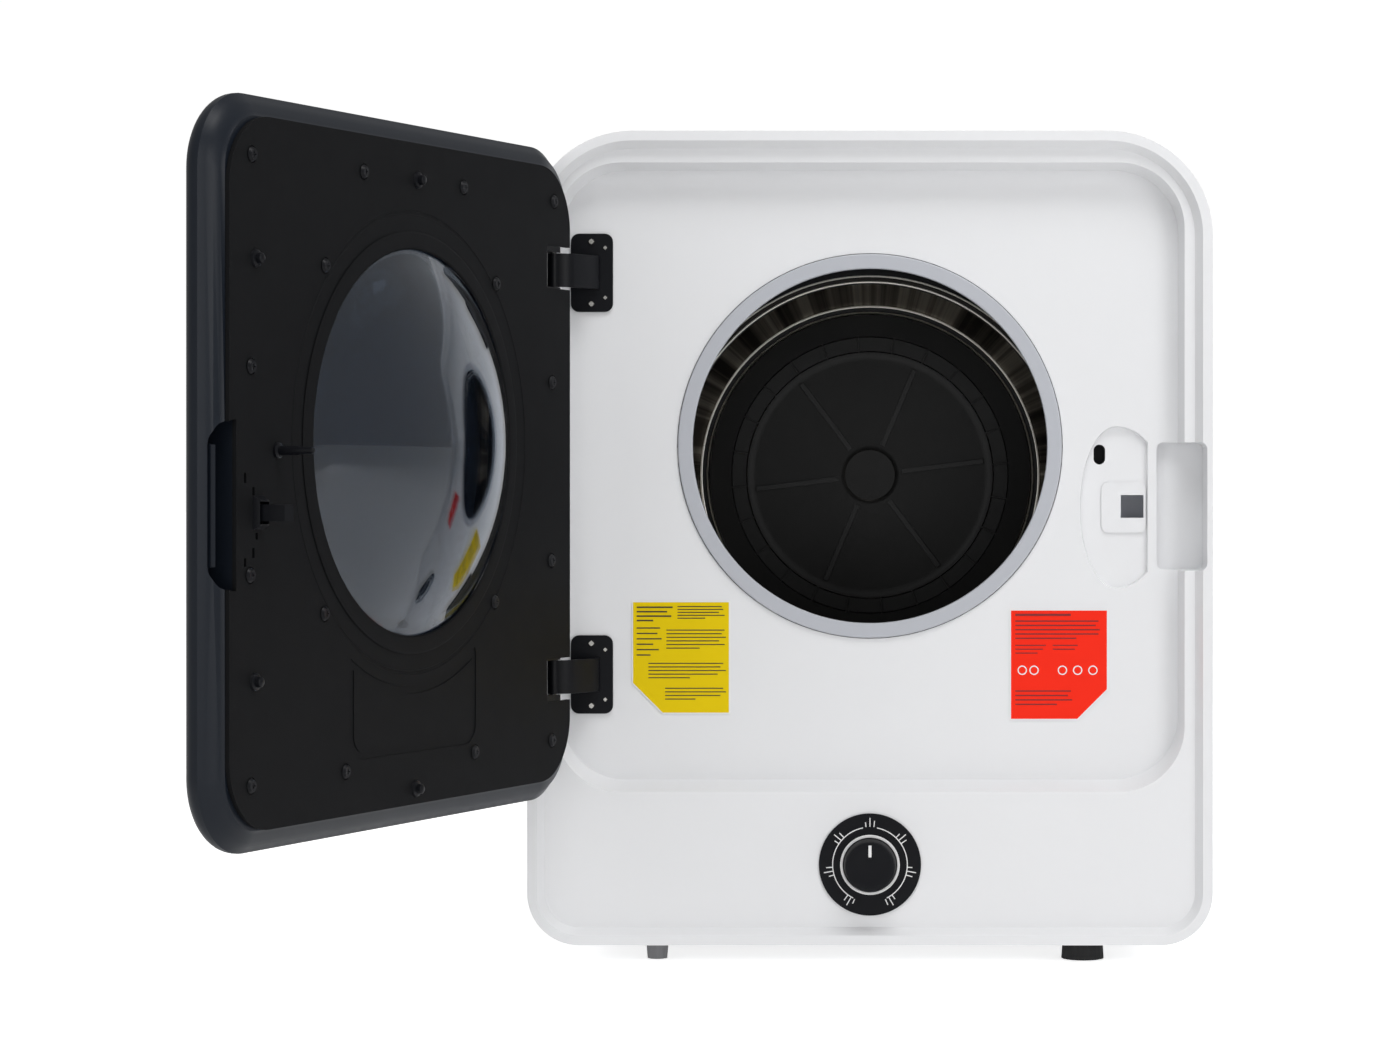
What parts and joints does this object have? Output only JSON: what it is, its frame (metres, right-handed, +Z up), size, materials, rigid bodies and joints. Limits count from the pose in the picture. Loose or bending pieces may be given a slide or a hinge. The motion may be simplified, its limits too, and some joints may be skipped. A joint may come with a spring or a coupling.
{
  "type": "clothes dryer",
  "caption": "Compact front-loading clothes dryer with rounded cabinet, stainless drum, timer dial and a round-window door standing open on side hinges.",
  "frame": {"origin": "floor level under the middle of the cabinet, in the plane of the four foot soles", "axes": "+Z up, -Y out of the door side (front), +X to the right seen from the front"},
  "size_m": [0.6495, 0.8426, 0.598],
  "materials": {
    "white_plastic": "satin white moulding",
    "white_metal": "white powder coat",
    "light_grey": "satin grey",
    "black_plastic": "fine matt black",
    "door_blue": "gloss blue-black",
    "steel": "polished, lightly brushed",
    "zinc": "zinc-plated sheet",
    "dark_metal": "dark enamel",
    "rubber": "matt",
    "grey_plastic": "matt",
    "felt": "wool felt",
    "clear": "clear",
    "tinted": "smoke tint",
    "yellow": "printed film",
    "red": "printed film"
  },
  "bodies": {
    "cabinet": {"front_panel": "white_plastic", "cabinet_wrap": "white_metal", "base_pan": "zinc", "rear_panel": "white_metal", "levelling_foot_front_left": "grey_plastic", "foot_front_right": "rubber", "foot_rear_left": "rubber", "foot_rear_right": "rubber", "opening_ring": "light_grey", "front_bulkhead": "black_plastic", "drum_seal": "felt", "rear_bulkhead": "zinc", "shaft_bearing": "steel", "motor_housing": "dark_metal", "motor_bracket": "zinc", "blower_housing": "black_plastic", "exhaust_collar": "white_plastic", "drive_belt": "rubber", "idler_bracket": "zinc", "heater_box": "zinc", "heater_element": "dark_metal", "thermostat": "black_plastic", "dial_plate": "black_plastic", "knob_ring": "white_plastic", "timer_body": "grey_plastic", "latch_cover": "white_plastic", "latch_strike": "dark_metal", "door_switch": "black_plastic", "notice_label_left": "yellow", "notice_label_right": "red", "hinge_plate_lower": "black_plastic", "hinge_plate_upper": "black_plastic", "cord_gland": "black_plastic"},
    "door": {"door_outer_shell": "door_blue", "door_inner_panel": "black_plastic", "window_bowl": "clear", "window_ring": "black_plastic", "window_pane_outer": "tinted", "hinge_pin_lower": "steel", "hinge_pin_upper": "steel", "hinge_bracket_lower": "dark_metal", "hinge_bracket_upper": "dark_metal", "switch_pin": "black_plastic"},
    "latch_hook_body": {"latch_hook": "black_plastic"},
    "release_lever_body": {"release_lever": "door_blue"},
    "drum": {"drum_shell": "steel", "drum_front_ring": "steel", "drum_rear_wall": "steel", "lifter_1": "steel", "lifter_2": "steel", "lifter_3": "steel", "filter_cover": "black_plastic", "drum_shaft": "zinc"},
    "motor_rotor": {"motor_shaft": "steel", "blower_wheel": "black_plastic"},
    "idler_arm_body": {"idler_arm": "zinc"},
    "idler_wheel": {"idler_pulley": "grey_plastic"},
    "knob": {"timer_knob": "black_plastic"},
    "switch_plunger_body": {"switch_plunger": "black_plastic"}
  },
  "joints": [
    {"name": "door_hinge", "type": "hinge", "parent": "cabinet", "child": "door", "pos_m": [-0.226, -0.204, 0.353], "axis": [0, 0, 1], "range_deg": [-12, 112.5]},
    {"name": "release_lever_pull", "type": "hinge", "parent": "door", "child": "release_lever_body", "pos_m": [-0.39215, -0.61035, 0.334], "axis": [0, 0, 1], "range_deg": [-8, 0], "stiffness_Nm_per_rad": 0.3, "springref_deg": 8.59},
    {"name": "latch_hook_turn", "type": "hinge", "parent": "door", "child": "latch_hook_body", "pos_m": [-0.38205, -0.58596, 0.3293], "axis": [0, 0, 1], "range_deg": [-5, 0]},
    {"name": "drum_spin", "type": "hinge", "parent": "cabinet", "child": "drum", "pos_m": [0, 0, 0.352], "axis": [0, 1, 0], "continuous": true},
    {"name": "motor_spin", "type": "hinge", "parent": "cabinet", "child": "motor_rotor", "pos_m": [0.13, 0, 0.081], "axis": [0, 1, 0], "continuous": true},
    {"name": "idler_arm_swing", "type": "hinge", "parent": "cabinet", "child": "idler_arm_body", "pos_m": [0.08405, -0.07, 0.06681], "axis": [0, 1, 0], "range_deg": [-8, 0], "stiffness_Nm_per_rad": 0.6, "springref_deg": 17.19},
    {"name": "idler_spin", "type": "hinge", "parent": "idler_arm_body", "child": "idler_wheel", "pos_m": [0.03675, -0.08, 0.08851], "axis": [0, 1, 0], "continuous": true},
    {"name": "timer_turn", "type": "hinge", "parent": "cabinet", "child": "knob", "pos_m": [0, -0.2, 0.073], "axis": [0, 1, 0], "range_deg": [0, 300]},
    {"name": "switch_press", "type": "slide", "parent": "cabinet", "child": "switch_plunger_body", "axis": [0, 1, 0], "range_m": [0, 0.0035], "stiffness_N_per_m": 250}
  ],
  "couplings": [
    {"joint": "motor_spin", "follows": "drum_spin", "ratio": 11.909},
    {"joint": "idler_spin", "follows": "drum_spin", "ratio": -14.356},
    {"joint": "latch_hook_turn", "follows": "release_lever_pull", "ratio": 0.6}
  ]
}
